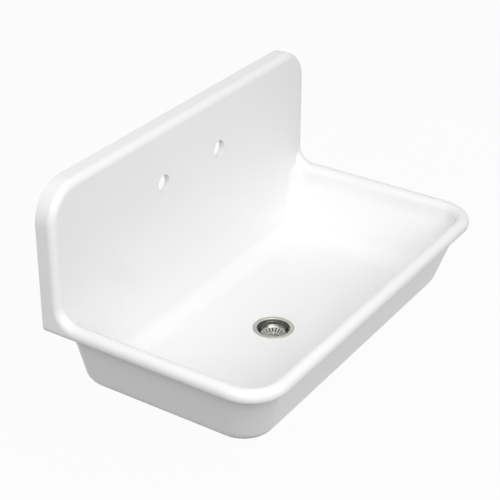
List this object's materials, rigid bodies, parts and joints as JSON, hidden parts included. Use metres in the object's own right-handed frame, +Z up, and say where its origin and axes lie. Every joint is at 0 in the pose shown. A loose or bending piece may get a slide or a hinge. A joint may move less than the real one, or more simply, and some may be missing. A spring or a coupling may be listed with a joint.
{
  "type": "wall-hung kitchen sink",
  "caption": "Wall-hung cast-iron kitchen sink with one wide bowl, rolled rim, high back panel with faucet holes, and a lift-out basket strainer.",
  "frame": {"origin": "centre of the wall hangers' screw pattern, on the wall plane", "axes": "+Z up, +Y into the wall, -Y out to the person at the sink, +X to the right seen from the front"},
  "size_m": [0.914, 0.52, 0.6251],
  "materials": {
    "enamel": "glossy white vitreous enamel on cast iron",
    "hanger_paint": "grey primer on a rough iron casting",
    "strainer_steel": "polished stainless steel",
    "basket_steel": "polished stainless steel",
    "knob_chrome": "chrome plate",
    "rubber": "matt black rubber",
    "putty": "plumber's putty",
    "fibre": "pressed fibre",
    "zinc": "die-cast zinc",
    "brass": "turned brass",
    "tail_chrome": "chrome-plated brass tube",
    "washer_plastic": "white polyethylene"
  },
  "bodies": {
    "fixture": {"sink_body": "enamel", "wall_hanger_left": "hanger_paint", "wall_hanger_right": "hanger_paint", "strainer_body": "strainer_steel", "strainer_crossbar": "strainer_steel", "putty_ring": "putty", "body_gasket": "rubber", "friction_ring": "fibre", "locknut": "zinc", "coupling_nut": "zinc", "tailpiece_washer": "washer_plastic", "tailpiece": "tail_chrome"},
    "basket": {"basket_cup": "basket_steel"},
    "stopper": {"basket_post": "basket_steel", "basket_knob": "knob_chrome", "basket_stopper": "rubber", "stopper_washer": "basket_steel", "stopper_nut": "brass", "post_ring": "rubber"}
  },
  "joints": [
    {"name": "basket_lift", "type": "slide", "parent": "fixture", "child": "basket", "axis": [0, 0, 1], "range_m": [0, 0.23]},
    {"name": "stopper_travel", "type": "slide", "parent": "basket", "child": "stopper", "axis": [0, 0, 1], "range_m": [0, 0.006]}
  ]
}
